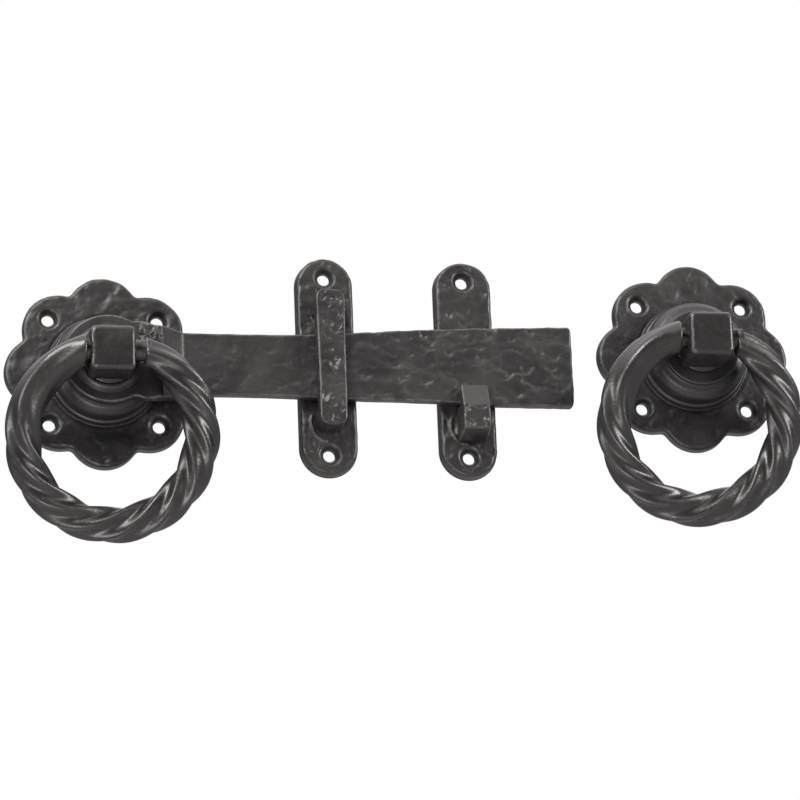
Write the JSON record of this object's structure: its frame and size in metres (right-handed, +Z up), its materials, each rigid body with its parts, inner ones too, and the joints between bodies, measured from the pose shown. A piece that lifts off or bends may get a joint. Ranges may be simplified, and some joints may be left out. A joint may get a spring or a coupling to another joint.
{
  "type": "ring gate latch",
  "caption": "Black cast iron gate latch set: twisted drop-ring handles on petalled roses, a flared latch bar, a guide loop and a hooked catch.",
  "frame": {"origin": "axis of the inner spindle on the face of the gate, the centre of the inner rose screw pattern", "axes": "+Z up, +X along the latch bar towards its tip, +Y into the gate; the fronts face -Y"},
  "size_m": [0.3214, 0.1041, 0.1219],
  "materials": {
    "cast_black": "satin black powder coat over rough cast iron",
    "plain_steel": "plain dull steel"
  },
  "bodies": {
    "plates": {"inner_rose": "cast_black", "guide_bracket": "cast_black", "catch_bracket": "cast_black", "outer_rose": "cast_black"},
    "inner_handle": {"inner_boss": "cast_black", "latch_bar": "cast_black", "inner_washer": "plain_steel", "inner_clip": "plain_steel", "spindle": "plain_steel", "spindle_pin": "plain_steel"},
    "inner_drop_ring": {"inner_ring": "cast_black", "inner_pivot_pin": "plain_steel"},
    "outer_handle": {"outer_boss": "cast_black", "outer_washer": "plain_steel", "outer_clip": "plain_steel"},
    "outer_drop_ring": {"outer_ring": "cast_black", "outer_pivot_pin": "plain_steel"}
  },
  "joints": [
    {"name": "inner_handle_turn", "type": "hinge", "parent": "plates", "child": "inner_handle", "pos_m": [0, -0.0226, 0], "axis": [0, -1, 0], "range_deg": [0, 4.5]},
    {"name": "inner_ring_swing", "type": "hinge", "parent": "inner_handle", "child": "inner_drop_ring", "pos_m": [0, -0.0324, 0], "axis": [-1, 0, 0], "range_deg": [0, 217]},
    {"name": "outer_handle_turn", "type": "hinge", "parent": "plates", "child": "outer_handle", "pos_m": [0.24, -0.0182, 0.0114], "axis": [0, -1, 0], "range_deg": [-4.5, 0]},
    {"name": "outer_ring_swing", "type": "hinge", "parent": "outer_handle", "child": "outer_drop_ring", "pos_m": [0.24, -0.0288, 0.0114], "axis": [-1, 0, 0], "range_deg": [0, 216]}
  ],
  "couplings": [
    {"joint": "outer_handle_turn", "follows": "inner_handle_turn", "ratio": -1}
  ]
}
